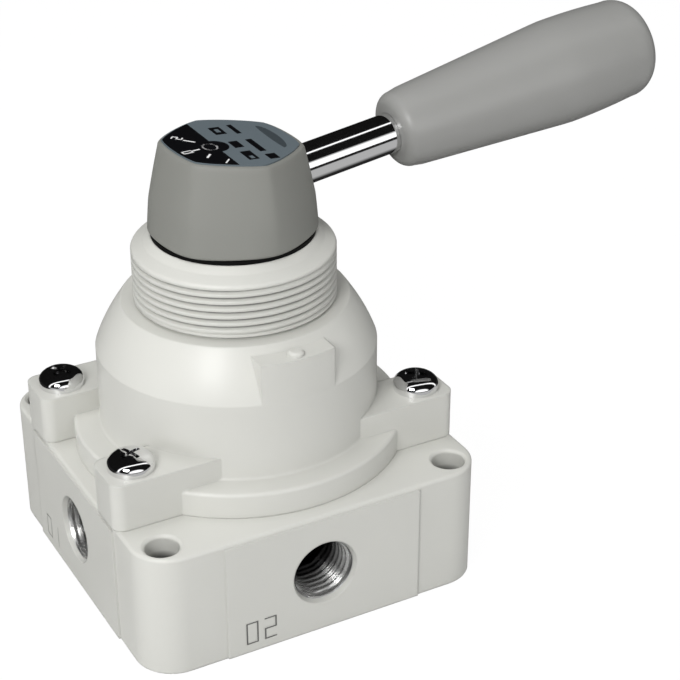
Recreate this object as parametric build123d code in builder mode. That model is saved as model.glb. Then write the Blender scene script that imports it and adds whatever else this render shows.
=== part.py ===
"""Hand lever air valve: square base, bonnet with a threaded neck, rotary disc, detent and lever.

Millimetres, +Z up, origin at the centre of the base underside. The lever points along +X when centred.
Every mating size is worked out from one named value plus a named clearance.
"""
from build123d import *
from math import cos, radians, sin, sqrt, tan
import os

os.makedirs("parts", exist_ok=True)

# ---- fits and clearances ---------------------------------------------------------------------
running_gap = 0.05          # radial, shaft in bush and seal in bore
face_gap = 0.02             # between flat faces that slide on each other
seat_gap = 0.1              # round the seat seal in its pocket
detent_gap = 0.1            # between the ball and the land of the detent plate

# ---- base ------------------------------------------------------------------------------------
base_width = 74.0
base_height = 26.0
base_corner = 8.0
deck_round = 0.7
pad_width = 42.0
pad_rise = 0.4
pad_foot = 0.9              # how far the side pads stop short of the top face
hole_inset = 6.0
hole_radius = 3.3
hole_chamfer = 0.5
port_radius = 5.73
port_depth = 13.0
port_mouth = 1.15
passage_radius = 3.5
passage_circle = 13.0
pocket_radius = 24.0
pocket_depth = 6.0
seat_thickness = 2.0

# ---- bonnet ----------------------------------------------------------------------------------
flange_radius = 33.3
flange_height = 5.3
flange_round = 0.7
lug_height = 10.0
lug_inner = 12.5
lug_outer = 23.6
lug_corner = 2.5
lug_round = 0.6
dome_radius = 28.0
dome_height = 21.2
shoulder_radius = 22.6
shoulder_height = 31.0
shoulder_bulge = 0.45
neck_radius = 20.0
relief_radius = 18.9
relief_height = 0.8
neck_crown = 41.7
neck_top_radius = 17.0
crown_in = 1.0
crown_up = 2.1
neck_top = 45.2
platform_width = 15.5
platform_height = 29.5
pip_radius = 1.5
pip_rise = 1.0
pip_offset = 25.8
cavity_radius = 23.5
cavity_height = 20.0
bush_bore = 9.0

# ---- screws ----------------------------------------------------------------------------------
screw_inset = 6.0
screw_y = 18.0
screw_radius = 2.5
screw_grip = 20.0
screw_tip_room = 2.0
head_radius = 4.6
head_height = 3.2
head_round = 2.0

# ---- spindle, disc and detent ----------------------------------------------------------------
disc_radius = 22.0
disc_thickness = 7.0
kidney_depth = 2.5
swing = 45.0
tang_width = 8.0
tang_length = 16.0
tang_depth = 3.8
spring_space = 5.0
spring_wire = 1.6
spring_radius = 11.5
plate_bore = 10.5
plate_radius = 22.0
collar_radius = 18.0
collar_thickness = 9.0
land_gap = 0.6
spindle_radius = 7.0
ball_radius = 2.5
ball_pocket_depth = 7.1
detent_hole = 2.3
detent_wire = 0.6
detent_coil = 1.7
stop_radius = 1.5
stop_reach = 4.0
stop_floor_gap = 0.5
pin_radius = 1.2
pin_circle = 17.5
pin_depth = 3.0
bush_length = 18.0
o_ring_section = 1.35
groove_land = 0.7
seal_lip = 3.0
seal_radius = 16.2
seal_flange = 0.75
body_ring_radius = 26.2
body_ring_section = 0.8

# ---- hub, rod and grip -----------------------------------------------------------------------
hub_gap = 0.8
hub_foot_radius = 16.6
hub_waist_radius = 16.3
hub_waist_rise = 6.0
hub_crown_radius = 14.5
hub_crown_rise = 16.5
hub_crown_flat = 12.9
hub_tilt = 3.7
drive_radius = 6.0
drive_flat = 9.0
drive_length = 9.0
web_thickness = 2.5
plate_sheet = 0.3
plate_inset = 0.5
hub_screw_radius = 2.0
hub_screw_head = 3.5
hub_screw_head_height = 2.4
hub_screw_length = 14.0
hub_screw_room = 5.0
washer_radius = 4.5
washer_thickness = 0.8
rod_radius = 4.0
rod_rise = 6.7
rod_tilt = 8.5
rod_start = 8.6
rod_end = 58.0
grip_start = 35.4
grip_waist = 38.6
grip_crown = 11.0
grip_bulge = 0.1
grip_foot_round = 2.5
grip_tip_round = 4.5
grip_length = 60.0
grip_foot_radius = 7.75
grip_waist_radius = 10.85
grip_head_radius = 9.7
insert_radius = 6.0
insert_length = 24.0
insert_inset = 3.0

# ---- levels worked out from the sizes above --------------------------------------------------
half_width = base_width / 2
deck = base_height
port_height = base_height / 2
hole_pitch = base_width - 2 * hole_inset
screw_x = half_width - screw_inset
seat_level = deck - pocket_depth
seat_top = seat_level + seat_thickness
disc_foot = seat_top + face_gap
disc_top = disc_foot + disc_thickness
collar_foot = disc_top + spring_space
collar_top = collar_foot + collar_thickness
plate_foot = collar_top + land_gap
cavity_top = deck + cavity_height
bush_top = cavity_top + bush_length
neck_level = deck + neck_top
hub_foot = neck_level + hub_gap
drive_top = hub_foot + drive_length
web_top = drive_top + web_thickness
hub_crown = hub_foot + hub_crown_rise
rod_height = hub_foot + rod_rise
ball_level = plate_foot - detent_gap - ball_radius
pocket_floor = collar_top - ball_pocket_depth
shoulder_middle = (dome_radius + shoulder_radius) / 2 + shoulder_bulge
ring_groove_foot = deck - 2 * body_ring_section
shaft_groove = bush_bore - 2 * o_ring_section - running_gap
o_ring_level = bush_top + groove_land + o_ring_section
lip_foot = neck_level - seal_lip
crown_plane = Plane(
    origin=(0, 0, hub_crown),
    x_dir=(cos(radians(hub_tilt)), 0, -sin(radians(hub_tilt))),
    z_dir=(sin(radians(hub_tilt)), 0, cos(radians(hub_tilt))),
)
rod_plane = Plane(
    origin=(0, 0, rod_height),
    x_dir=(0, 1, 0),
    z_dir=(cos(radians(rod_tilt)), 0, sin(radians(rod_tilt))),
)
rod_section = Plane(
    origin=(0, 0, rod_height),
    x_dir=(cos(radians(rod_tilt)), 0, sin(radians(rod_tilt))),
    z_dir=(0, -1, 0),
)
kidney_path = CenterArc((0, 0), passage_circle, -swing, 2 * swing)
stop_path = CenterArc((0, 0), passage_circle, 180 - swing, 2 * swing)

# ---- base block: four tapped side ports, four drillings up to the valve seat -----------------
with BuildPart() as base_block:
    with BuildSketch():
        RectangleRounded(base_width - 2 * pad_rise, base_width - 2 * pad_rise, base_corner)
    extrude(amount=base_height)
    fillet(base_block.edges().group_by(Axis.Z)[-1], radius=deck_round)
    with BuildSketch():
        Rectangle(base_width, pad_width)
        Rectangle(pad_width, base_width)
    extrude(amount=base_height - pad_foot)
    # shallow pocket for the seat and the face groove for the body ring
    with BuildSketch(Plane.XY.offset(seat_level)):
        Circle(pocket_radius)
    extrude(amount=base_height - seat_level, mode=Mode.SUBTRACT)
    with BuildSketch(Plane.XY.offset(ring_groove_foot)):
        Circle(body_ring_radius + body_ring_section)
        Circle(body_ring_radius - body_ring_section, mode=Mode.SUBTRACT)
    extrude(amount=2 * body_ring_section, mode=Mode.SUBTRACT)
    # tapped ports with a mouth chamfer and a smaller drilling inwards
    for side in (Plane.YZ, Plane.XZ):
        for reach in (-half_width, half_width):
            inward = -1 if reach > 0 else 1
            with BuildSketch(side.offset(reach)):
                with Locations((0, port_height)):
                    Circle(port_radius)
            extrude(amount=inward * port_depth, mode=Mode.SUBTRACT)
            with BuildSketch(side.offset(reach)):
                with Locations((0, port_height)):
                    Circle(passage_radius)
            extrude(amount=inward * (half_width - passage_circle), mode=Mode.SUBTRACT)
    with BuildSketch(Plane.XY.offset(port_height)):
        with PolarLocations(passage_circle, 4):
            Circle(passage_radius)
    extrude(amount=seat_level - port_height, mode=Mode.SUBTRACT)
    mouths = base_block.edges().filter_by(GeomType.CIRCLE)
    mouths = mouths.filter_by(lambda edge: abs(edge.radius - port_radius) < 0.01)
    outermost = half_width - port_mouth
    mouths = mouths.filter_by(lambda edge: abs(edge.center().X) + abs(edge.center().Y) > outermost)
    chamfer(mouths, length=port_mouth)
    # through holes for the mounting bolts, blind holes for the bonnet screws
    with BuildSketch():
        with GridLocations(hole_pitch, hole_pitch, 2, 2):
            Circle(hole_radius)
    extrude(amount=base_height, mode=Mode.SUBTRACT)
    with BuildSketch(Plane.XY.offset(deck)):
        with GridLocations(2 * screw_x, 2 * screw_y, 2, 2):
            Circle(screw_radius)
    extrude(amount=lug_height - screw_grip - screw_tip_room, mode=Mode.SUBTRACT)
    rims = base_block.edges().filter_by(GeomType.CIRCLE)
    rims = rims.filter_by(lambda edge: abs(edge.radius - hole_radius) < 0.01)
    chamfer(rims, length=hole_chamfer)
base_block.part.label = "base_block"
export_step(base_block.part, "parts/base_block.step")

# ---- body ring in the face groove ------------------------------------------------------------
with BuildPart() as body_o_ring:
    with BuildSketch(Plane.XZ):
        with Locations((body_ring_radius, ring_groove_foot + body_ring_section)):
            Circle(body_ring_section)
    revolve(axis=Axis.Z)
body_o_ring.part.label = "body_o_ring"
export_step(body_o_ring.part, "parts/body_o_ring.step")

# ---- seat seal with one hole over each drilling ----------------------------------------------
with BuildPart() as seat_seal:
    with BuildSketch(Plane.XY.offset(seat_level)):
        Circle(pocket_radius - seat_gap)
        with PolarLocations(passage_circle, 4):
            Circle(passage_radius, mode=Mode.SUBTRACT)
    extrude(amount=seat_thickness)
seat_seal.part.label = "seat_seal"
export_step(seat_seal.part, "parts/seat_seal.step")

# ---- bonnet: screw lugs, clamping flange, dome, shoulder, platform and neck ------------------
with BuildPart() as bonnet:
    with BuildSketch(Plane.XY.offset(deck)):
        with Locations((0, (lug_inner + lug_outer) / 2), (0, -(lug_inner + lug_outer) / 2)):
            RectangleRounded(base_width, lug_outer - lug_inner, lug_corner)
    extrude(amount=lug_height)
    fillet(bonnet.edges().group_by(Axis.Z)[-1], radius=lug_round)
    with BuildSketch(Plane.XZ):
        with BuildLine():
            Polyline((0, deck), (flange_radius, deck), (flange_radius, deck + flange_height - flange_round))
            ThreePointArc(
                (flange_radius, deck + flange_height - flange_round),
                (flange_radius - 0.29 * flange_round, deck + flange_height - 0.29 * flange_round),
                (flange_radius - flange_round, deck + flange_height),
            )
            Polyline(
                (flange_radius - flange_round, deck + flange_height),
                (dome_radius, deck + flange_height),
                (dome_radius, deck + dome_height),
            )
            ThreePointArc(
                (dome_radius, deck + dome_height),
                (shoulder_middle, deck + (dome_height + shoulder_height) / 2),
                (shoulder_radius, deck + shoulder_height),
            )
            Polyline(
                (shoulder_radius, deck + shoulder_height),
                (relief_radius, deck + shoulder_height),
                (relief_radius, deck + shoulder_height + relief_height),
                (neck_radius, deck + shoulder_height + relief_height),
                (neck_radius, deck + neck_crown),
            )
            ThreePointArc(
                (neck_radius, deck + neck_crown),
                (neck_radius - crown_in, deck + neck_crown + crown_up),
                (neck_top_radius, neck_level),
            )
            Polyline((neck_top_radius, neck_level), (0, neck_level), (0, deck))
        make_face()
    revolve(axis=Axis.Z)
    # flat platform on the front of the shoulder, with a round locating pip
    with BuildSketch(Plane.XY.offset(deck + dome_height / 2)):
        with Locations((0, -(dome_radius + relief_radius) / 2)):
            Rectangle(platform_width, dome_radius - relief_radius)
        Circle(dome_radius, mode=Mode.INTERSECT)
    extrude(amount=platform_height - dome_height / 2)
    with BuildSketch(Plane.XY.offset(deck + platform_height)):
        with Locations((0, -pip_offset)):
            Circle(pip_radius)
    extrude(amount=pip_rise)
    # inside: chamber for the disc and collar, and the bore for bush, ring and dust seal
    with BuildSketch(Plane.XY.offset(deck)):
        Circle(cavity_radius)
    extrude(amount=cavity_height, mode=Mode.SUBTRACT)
    with BuildSketch(Plane.XY.offset(deck)):
        Circle(bush_bore)
    extrude(amount=neck_top, mode=Mode.SUBTRACT)
    # holes for the bonnet screws, the detent plate pins and the stop pin
    with BuildSketch(Plane.XY.offset(deck)):
        with GridLocations(2 * screw_x, 2 * screw_y, 2, 2):
            Circle(screw_radius)
    extrude(amount=lug_height, mode=Mode.SUBTRACT)
    with BuildSketch(Plane.XY.offset(cavity_top)):
        with Locations((0, pin_circle), (0, -pin_circle)):
            Circle(pin_radius)
        with Locations((-passage_circle, 0)):
            Circle(stop_radius)
    extrude(amount=pin_depth, mode=Mode.SUBTRACT)
bonnet.part.label = "bonnet"
export_step(bonnet.part, "parts/bonnet.step")

# ---- four pan head screws --------------------------------------------------------------------
with BuildPart() as bonnet_screws:
    with BuildSketch(Plane.XY.offset(deck + lug_height)):
        with GridLocations(2 * screw_x, 2 * screw_y, 2, 2):
            Circle(screw_radius)
    extrude(amount=-screw_grip)
    with BuildSketch(Plane.XY.offset(deck + lug_height)):
        with GridLocations(2 * screw_x, 2 * screw_y, 2, 2):
            Circle(head_radius)
    extrude(amount=head_height)
    head_rims = bonnet_screws.edges().group_by(Axis.Z)[-1]
    fillet(head_rims, radius=head_round)
bonnet_screws.part.label = "bonnet_screws"
export_step(bonnet_screws.part, "parts/bonnet_screws.step")

# ---- bush pressed in the neck ----------------------------------------------------------------
with BuildPart() as spindle_bush:
    with BuildSketch(Plane.XY.offset(cavity_top)):
        Circle(bush_bore)
        Circle(spindle_radius + running_gap, mode=Mode.SUBTRACT)
    extrude(amount=bush_length)
spindle_bush.part.label = "spindle_bush"
export_step(spindle_bush.part, "parts/spindle_bush.step")

# ---- dust seal: a flat flange on the neck and a lip down its bore ----------------------------
with BuildPart() as dust_seal:
    with BuildSketch(Plane.XY.offset(lip_foot)):
        Circle(bush_bore)
        Circle(spindle_radius + running_gap, mode=Mode.SUBTRACT)
    extrude(amount=seal_lip)
    with BuildSketch(Plane.XY.offset(neck_level)):
        Circle(seal_radius)
        Circle(spindle_radius + running_gap, mode=Mode.SUBTRACT)
    extrude(amount=seal_flange)
dust_seal.part.label = "dust_seal"
export_step(dust_seal.part, "parts/dust_seal.step")

# ---- detent plate: three ball holes one swing apart ------------------------------------------
with BuildPart() as detent_plate:
    with BuildSketch(Plane.XY.offset(plate_foot)):
        Circle(plate_radius)
        Circle(plate_bore, mode=Mode.SUBTRACT)
        with PolarLocations(passage_circle, 3, start_angle=-swing, angular_range=3 * swing):
            Circle(detent_hole, mode=Mode.SUBTRACT)
        with Locations((0, pin_circle), (0, -pin_circle)):
            Circle(pin_radius, mode=Mode.SUBTRACT)
        with Locations((-passage_circle, 0)):
            Circle(stop_radius, mode=Mode.SUBTRACT)
    extrude(amount=cavity_top - plate_foot)
detent_plate.part.label = "detent_plate"
export_step(detent_plate.part, "parts/detent_plate.step")

with BuildPart() as detent_plate_pins:
    with BuildSketch(Plane.XY.offset(plate_foot)):
        with Locations((0, pin_circle), (0, -pin_circle)):
            Circle(pin_radius)
    extrude(amount=cavity_top - plate_foot + pin_depth)
detent_plate_pins.part.label = "detent_plate_pins"
export_step(detent_plate_pins.part, "parts/detent_plate_pins.step")

with BuildPart() as stop_pin:
    with BuildSketch(Plane.XY.offset(collar_top - stop_reach)):
        with Locations((-passage_circle, 0)):
            Circle(stop_radius)
    extrude(amount=cavity_top + pin_depth - collar_top + stop_reach)
stop_pin.part.label = "stop_pin"
export_step(stop_pin.part, "parts/stop_pin.step")

# ---- thrust washer between the collar and the chamber roof -----------------------------------
with BuildPart() as thrust_washer:
    with BuildSketch(Plane.XY.offset(collar_top + face_gap)):
        Circle(plate_bore)
        Circle(spindle_radius + running_gap, mode=Mode.SUBTRACT)
    extrude(amount=cavity_top - collar_top - face_gap)
thrust_washer.part.label = "thrust_washer"
export_step(thrust_washer.part, "parts/thrust_washer.step")

# ---- rotary disc: two kidney channels below, a driving slot above ----------------------------
with BuildPart() as rotor_disc:
    with BuildSketch(Plane.XY.offset(disc_foot)):
        Circle(disc_radius)
    extrude(amount=disc_thickness)
    with BuildSketch(Plane.XY.offset(disc_foot)):
        with PolarLocations(0, 2):
            SlotArc(kidney_path, height=2 * passage_radius)
    extrude(amount=kidney_depth, mode=Mode.SUBTRACT)
    with BuildSketch(Plane.XY.offset(disc_top)):
        Rectangle(tang_width, tang_length)
    extrude(amount=-tang_depth, mode=Mode.SUBTRACT)
rotor_disc.part.label = "rotor_disc"
export_step(rotor_disc.part, "parts/rotor_disc.step")

# ---- spring that presses the disc on its seat ------------------------------------------------
spring_rise = spring_space - spring_wire
with BuildPart() as pressure_spring:
    with BuildLine(Plane.XY.offset(disc_top + spring_wire / 2)):
        Helix(pitch=spring_rise / 2, height=spring_rise, radius=spring_radius)
    with BuildSketch(Plane.XZ):
        with Locations((spring_radius, disc_top + spring_wire / 2)):
            Circle(spring_wire / 2)
    sweep(is_frenet=True)
pressure_spring.part.label = "pressure_spring"
export_step(pressure_spring.part, "parts/pressure_spring.step")

# ---- spindle: driving tang, collar with ball pocket and stop slot, grooved shaft, flats ------
with BuildPart() as spindle:
    with BuildSketch(Plane.XY.offset(disc_top - tang_depth)):
        Rectangle(tang_width, tang_length)
    extrude(amount=tang_depth + spring_space)
    with BuildSketch(Plane.XY.offset(collar_foot)):
        Circle(collar_radius)
    extrude(amount=collar_thickness)
    with BuildSketch(Plane.XY.offset(collar_top)):
        Circle(spindle_radius)
    extrude(amount=hub_foot - collar_top)
    with BuildSketch(Plane.XY.offset(hub_foot)):
        Circle(drive_radius)
        Rectangle(drive_flat, 2 * drive_radius, mode=Mode.INTERSECT)
    extrude(amount=drive_length)
    with BuildSketch(Plane.XY.offset(o_ring_level - o_ring_section)):
        Circle(spindle_radius + spring_wire)
        Circle(shaft_groove, mode=Mode.SUBTRACT)
    extrude(amount=2 * o_ring_section, mode=Mode.SUBTRACT)
    with BuildSketch(Plane.XY.offset(collar_top)):
        with Locations((passage_circle, 0)):
            Circle(ball_radius + running_gap)
    extrude(amount=-ball_pocket_depth, mode=Mode.SUBTRACT)
    with BuildSketch(Plane.XY.offset(collar_top)):
        SlotArc(stop_path, height=2 * (stop_radius + running_gap))
    extrude(amount=-stop_reach - stop_floor_gap, mode=Mode.SUBTRACT)
    with BuildSketch(Plane.XY.offset(drive_top)):
        Circle(hub_screw_radius)
    extrude(amount=-hub_screw_length, mode=Mode.SUBTRACT)
spindle.part.label = "spindle"
export_step(spindle.part, "parts/spindle.step")

with BuildPart() as spindle_o_ring:
    with BuildSketch(Plane.XZ):
        with Locations((shaft_groove + o_ring_section, o_ring_level)):
            Circle(o_ring_section)
    revolve(axis=Axis.Z)
spindle_o_ring.part.label = "spindle_o_ring"
export_step(spindle_o_ring.part, "parts/spindle_o_ring.step")

# ---- detent ball and its spring in the collar pocket -----------------------------------------
with BuildPart() as detent_ball:
    with Locations((passage_circle, 0, ball_level)):
        Sphere(ball_radius)
detent_ball.part.label = "detent_ball"
export_step(detent_ball.part, "parts/detent_ball.step")

contact_drop = sqrt((ball_radius + detent_wire / 2) ** 2 - detent_coil ** 2)
coil_foot = pocket_floor + detent_wire / 2
coil_rise = ball_level - contact_drop - coil_foot
coil_centre = Location((passage_circle, 0, coil_foot))
with BuildPart() as detent_spring:
    with BuildLine(Plane(coil_centre)):
        Helix(pitch=coil_rise / 3, height=coil_rise, radius=detent_coil)
    with BuildSketch(Plane.XZ):
        with Locations((passage_circle + detent_coil, coil_foot)):
            Circle(detent_wire / 2)
    sweep(is_frenet=True)
detent_spring.part.label = "detent_spring"
export_step(detent_spring.part, "parts/detent_spring.step")

# ---- lever hub: a cone with six drafted flats and a sloping crown ----------------------------
hub_taper_rise = hub_crown_rise + 2 * hub_crown_radius * tan(radians(hub_tilt))
with BuildPart() as lever_hub:
    with BuildSketch(Plane.XZ):
        with BuildLine():
            Polyline(
                (0, hub_foot),
                (hub_foot_radius, hub_foot),
                (hub_waist_radius, hub_foot + hub_waist_rise),
                (hub_crown_radius, hub_crown),
                (hub_crown_radius, hub_foot + hub_taper_rise),
                (0, hub_foot + hub_taper_rise),
                (0, hub_foot),
            )
        make_face()
    revolve(axis=Axis.Z)
    with BuildSketch(Plane.XY.offset(hub_foot)):
        RegularPolygon(hub_foot_radius, 6, major_radius=False, rotation=30)
    with BuildSketch(Plane.XY.offset(hub_crown)):
        RegularPolygon(hub_crown_flat, 6, major_radius=False, rotation=30)
    loft(mode=Mode.INTERSECT)
    with BuildSketch(crown_plane):
        Circle(2 * hub_foot_radius)
    extrude(amount=hub_crown_rise, mode=Mode.SUBTRACT)
    with BuildSketch(Plane.XY.offset(hub_foot)):
        Circle(drive_radius)
        Rectangle(drive_flat, 2 * drive_radius, mode=Mode.INTERSECT)
    extrude(amount=drive_length, mode=Mode.SUBTRACT)
    with BuildSketch(Plane.XY.offset(drive_top)):
        Circle(hub_screw_radius)
    extrude(amount=web_thickness, mode=Mode.SUBTRACT)
    with BuildSketch(Plane.XY.offset(web_top)):
        Circle(hub_screw_room)
    extrude(amount=hub_crown_rise, mode=Mode.SUBTRACT)
    with BuildSketch(rod_plane.offset(rod_start)):
        Circle(rod_radius)
    extrude(amount=hub_foot_radius, mode=Mode.SUBTRACT)
lever_hub.part.label = "lever_hub"
export_step(lever_hub.part, "parts/lever_hub.step")

with BuildPart() as hub_washer:
    with BuildSketch(Plane.XY.offset(web_top)):
        Circle(washer_radius)
        Circle(hub_screw_radius, mode=Mode.SUBTRACT)
    extrude(amount=washer_thickness)
hub_washer.part.label = "hub_washer"
export_step(hub_washer.part, "parts/hub_washer.step")

with BuildPart() as hub_screw:
    with BuildSketch(Plane.XY.offset(web_top + washer_thickness)):
        Circle(hub_screw_head)
    extrude(amount=hub_screw_head_height)
    with BuildSketch(Plane.XY.offset(web_top + washer_thickness)):
        Circle(hub_screw_radius)
    extrude(amount=-hub_screw_length)
hub_screw.part.label = "hub_screw"
export_step(hub_screw.part, "parts/hub_screw.step")

# ---- name plate on the sloping crown ---------------------------------------------------------
with BuildPart() as name_plate:
    with BuildSketch(crown_plane):
        RegularPolygon(hub_crown_flat - plate_inset, 6, major_radius=False, rotation=30)
        Circle(hub_crown_radius - plate_inset, mode=Mode.INTERSECT)
    extrude(amount=plate_sheet)
name_plate.part.label = "name_plate"
export_step(name_plate.part, "parts/name_plate.step")

# ---- lever rod, threaded insert and grip on the rising lever axis ----------------------------
with BuildPart() as lever_rod:
    with BuildSketch(rod_plane.offset(rod_start)):
        Circle(rod_radius)
    extrude(amount=rod_end - rod_start)
lever_rod.part.label = "lever_rod"
export_step(lever_rod.part, "parts/lever_rod.step")

insert_start = grip_start + insert_inset
with BuildPart() as grip_insert:
    with BuildSketch(rod_plane.offset(insert_start)):
        Circle(insert_radius)
    extrude(amount=insert_length)
    with BuildSketch(rod_plane.offset(insert_start)):
        Circle(rod_radius)
    extrude(amount=rod_end - insert_start, mode=Mode.SUBTRACT)
grip_insert.part.label = "grip_insert"
export_step(grip_insert.part, "parts/grip_insert.step")

grip_tip = grip_start + grip_length
with BuildPart() as grip:
    with BuildSketch(rod_section):
        with BuildLine():
            Polyline((grip_tip, 0), (grip_start, 0), (grip_start, grip_foot_radius))
            Line((grip_start, grip_foot_radius), (grip_start + grip_waist, grip_waist_radius))
            ThreePointArc(
                (grip_start + grip_waist, grip_waist_radius),
                (grip_start + grip_waist + grip_crown, grip_waist_radius + grip_bulge),
                (grip_tip, grip_head_radius),
            )
            Line((grip_tip, grip_head_radius), (grip_tip, 0))
        make_face()
    revolve(axis=Axis(rod_section.origin, rod_section.x_dir))
    ends = grip.edges().filter_by(GeomType.CIRCLE).sort_by(Axis.X)
    fillet(ends[0], radius=grip_foot_round)
    tips = grip.edges().filter_by(GeomType.CIRCLE).sort_by(Axis.X)
    fillet(tips[-1], radius=grip_tip_round)
    with BuildSketch(rod_plane.offset(grip_start)):
        Circle(rod_radius)
    extrude(amount=insert_inset, mode=Mode.SUBTRACT)
    with BuildSketch(rod_plane.offset(insert_start)):
        Circle(insert_radius)
    extrude(amount=insert_length, mode=Mode.SUBTRACT)
grip.part.label = "grip"
export_step(grip.part, "parts/grip.step")
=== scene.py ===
# %% [markdown]
# # Hand lever air valve
#
# A small rotary valve stands on a pale floor: a square cast base with a threaded port on each
# side, a bonnet held by four screws, a threaded neck, and a lever hub with a rod and a grip.
# The construction comes from the CAD frame, in metres, with the origin at the centre of the
# underside and the lever along +X. Each cell below adds one layer of what can be seen: first the
# camera, then materials, then smooth versions of the visible pieces with their threads, recesses
# and markings, then light.

# %%
import math

import bmesh
import bpy
from mathutils import Matrix, Vector


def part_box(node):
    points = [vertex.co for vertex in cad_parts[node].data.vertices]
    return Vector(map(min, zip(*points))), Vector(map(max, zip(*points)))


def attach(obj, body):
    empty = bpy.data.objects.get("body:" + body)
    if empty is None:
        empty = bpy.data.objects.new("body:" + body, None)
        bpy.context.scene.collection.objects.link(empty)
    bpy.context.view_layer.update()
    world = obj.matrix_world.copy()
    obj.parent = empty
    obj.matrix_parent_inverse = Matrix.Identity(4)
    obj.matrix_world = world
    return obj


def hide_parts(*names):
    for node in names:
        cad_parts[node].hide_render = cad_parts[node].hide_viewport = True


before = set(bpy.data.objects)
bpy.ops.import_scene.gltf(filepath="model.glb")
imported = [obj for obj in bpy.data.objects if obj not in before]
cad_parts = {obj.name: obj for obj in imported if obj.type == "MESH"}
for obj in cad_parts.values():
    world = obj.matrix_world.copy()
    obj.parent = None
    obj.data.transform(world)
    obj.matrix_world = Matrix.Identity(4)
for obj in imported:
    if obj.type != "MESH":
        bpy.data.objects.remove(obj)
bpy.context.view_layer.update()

# %% [markdown]
# ## Camera
#
# A camera is a place, a direction and a lens. The matrix columns are the camera's own right, up
# and backward directions, so the view is stated without any guess at rotation angles. A long lens
# on a 36 mm sensor keeps the verticals nearly parallel, as in a catalogue picture.

# %%
camera_place = Vector((-0.13148, -0.28225, 0.21437))
camera_right = Vector((0.87630, -0.48176, -0.00100)).normalized()
camera_back = Vector((-0.42333, -0.77100, 0.47576)).normalized()
camera_up = camera_back.cross(camera_right).normalized()
camera_data = bpy.data.cameras.new("view_camera")
camera_data.lens = 93.68
camera_data.sensor_width = 36.0
camera = bpy.data.objects.new("view_camera", camera_data)
turn = Matrix((camera_right, camera_up, camera_back)).transposed()
camera.matrix_world = Matrix.Translation(camera_place) @ turn.to_4x4()
bpy.context.scene.collection.objects.link(camera)
bpy.context.scene.camera = camera
print("lens:", camera_data.lens, "mm")

# %% [markdown]
# ## Sizes
#
# Heights and radii come from the boxes of the CAD nodes wherever a box tells them. The rest are
# the product's own standard sizes: an M40 x 1.5 neck, quarter inch taper ports, 5 mm screws.

# %%
MM = 0.001
base_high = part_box("base_block")[1]
bonnet_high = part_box("bonnet")[1]
hub_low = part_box("lever_hub")[0]
screw_low, screw_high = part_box("bonnet_screws")
half = base_high[0]
deck = base_high[2]
hole_offset = 31 * MM
screw_y = 18 * MM
screw_shank = 2.5 * MM
neck_top = bonnet_high[2]
hub_foot = hub_low[2]
print("base", round(2 * half / MM, 1), "mm wide; neck top at", round(neck_top / MM, 1), "mm")

# %% [markdown]
# ## Material maths as plain arithmetic
#
# `Wire` wraps one output socket. Adding or multiplying two wires makes a Math node behind the
# scenes, so a pattern reads like a formula. `Finish` wraps a material and makes every other node
# through one method that takes the type, the settings and the inputs.

# %%
class Wire:
    """One output socket that can be used in sums."""

    def __init__(self, finish, socket):
        self.finish = finish
        self.socket = socket

    def maths(self, operation, first, second=None):
        inputs = {0: first} if second is None else {0: first, 1: second}
        return self.finish.node("ShaderNodeMath", {"operation": operation}, inputs)

    def __add__(self, other):
        return self.maths("ADD", self, other)

    def __radd__(self, other):
        return self.maths("ADD", other, self)

    def __sub__(self, other):
        return self.maths("SUBTRACT", self, other)

    def __rsub__(self, other):
        return self.maths("SUBTRACT", other, self)

    def __mul__(self, other):
        return self.maths("MULTIPLY", self, other)

    def __rmul__(self, other):
        return self.maths("MULTIPLY", other, self)

    def above(self, level, softness):
        """0 below the level and 1 above it, with a soft edge."""
        inputs = {0: self, 1: level - softness, 2: level + softness}
        return self.finish.node("ShaderNodeMapRange", {"clamp": True}, inputs)


class Finish:
    """A material built from named steps."""

    def __init__(self, name, **constants):
        self.material = bpy.data.materials.new(name)
        self.material.use_nodes = True
        self.tree = self.material.node_tree
        self.surface = self.tree.nodes["Principled BSDF"]
        for socket, value in constants.items():
            self.surface.inputs[socket.replace("_", " ")].default_value = value

    def node(self, kind, settings=None, inputs=None, output=0):
        made = self.tree.nodes.new(kind)
        for setting, value in (settings or {}).items():
            setattr(made, setting, value)
        for socket, value in (inputs or {}).items():
            if isinstance(value, Wire):
                self.tree.links.new(value.socket, made.inputs[socket])
            else:
                made.inputs[socket].default_value = value
        return Wire(self, made.outputs[output])

    def place(self):
        return self.node("ShaderNodeTexCoord", output="Object")

    def noise(self, scale, detail=2.0, roughness=0.5):
        settings = {"noise_dimensions": "3D"}
        inputs = {"Vector": self.place(), "Scale": scale, "Detail": detail, "Roughness": roughness}
        return self.node("ShaderNodeTexNoise", settings, inputs)

    def mix(self, factor, first, second):
        settings = {"data_type": "RGBA"}
        return self.node("ShaderNodeMix", settings, {0: factor, 6: first, 7: second}, output=2)

    def bump(self, height, distance, strength=1.0, rounding=0.0):
        inputs = {"Height": height, "Distance": distance, "Strength": strength}
        if rounding:
            inputs["Normal"] = self.rounded(rounding)
        return self.node("ShaderNodeBump", {}, inputs)

    def rounded(self, radius):
        return self.node("ShaderNodeBevel", {"samples": 6}, {"Radius": radius})

    def feed(self, socket, wire):
        self.tree.links.new(wire.socket, self.surface.inputs[socket])


print("material helpers ready")

# %% [markdown]
# ## Materials
#
# The casting is a satin spray paint: nearly one colour, a slight mottle in the roughness and a
# very fine texture. Its port threads are bare metal, painted near black deeper in as painted
# shade. The mounting holes are painted dark below the deck as painted shade, and the roots of the
# neck thread are painted darker as painted shade. All three are worked out from the position of a
# point on the part, so they need no painted map and export with the mesh. The hub and grip are
# moulded plastic. Bevel nodes soften the light on sharp edges the way a real moulding or casting
# catches it.

# %%
PAINT_LIGHT = (0.580, 0.580, 0.545, 1)
PAINT_SHADE = (0.560, 0.560, 0.526, 1)


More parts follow.
